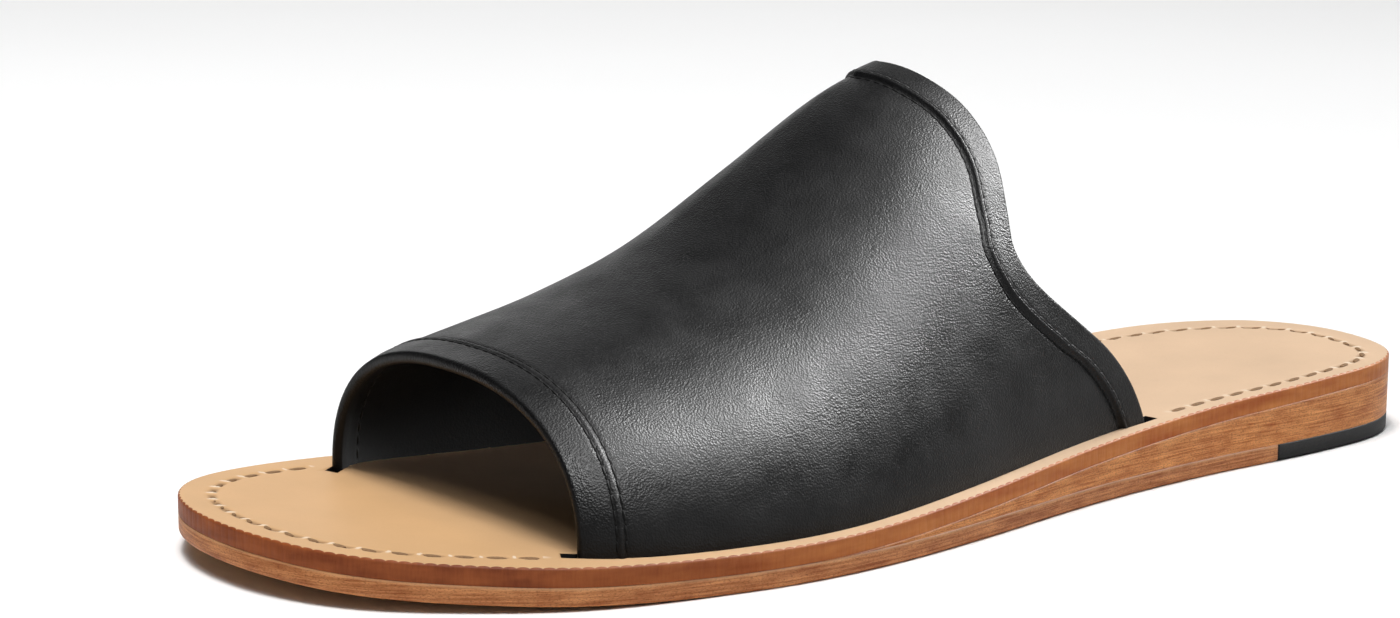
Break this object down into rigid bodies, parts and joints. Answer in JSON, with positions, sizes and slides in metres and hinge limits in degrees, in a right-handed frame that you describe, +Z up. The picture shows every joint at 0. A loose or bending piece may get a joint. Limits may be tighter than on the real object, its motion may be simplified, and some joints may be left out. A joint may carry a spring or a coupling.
{
  "type": "slide sandal",
  "caption": "Left slide sandal: a wide arched leather band over the instep, its feet held in slots of the insole, on a leather sole with a low heel wedge.",
  "frame": {"origin": "on the floor, under the middle of the sandal's box", "axes": "+Y from the toe to the heel, +X towards the outer (lateral) side of the left foot, +Z up"},
  "size_m": [0.1116, 0.298, 0.0914],
  "materials": {
    "outsole_leather": "waxed natural brown, cut edge with streaks",
    "heel_rubber": "matt black",
    "wedge_leather": "stacked, sanded and waxed edge",
    "insole_leather": "smooth natural tan",
    "upper_leather": "smooth black, satin"
  },
  "bodies": {
    "root": {"outsole": "outsole_leather", "heel_top_piece": "heel_rubber", "heel_wedge": "wedge_leather", "insole": "insole_leather", "upper": "upper_leather"}
  },
  "joints": []
}
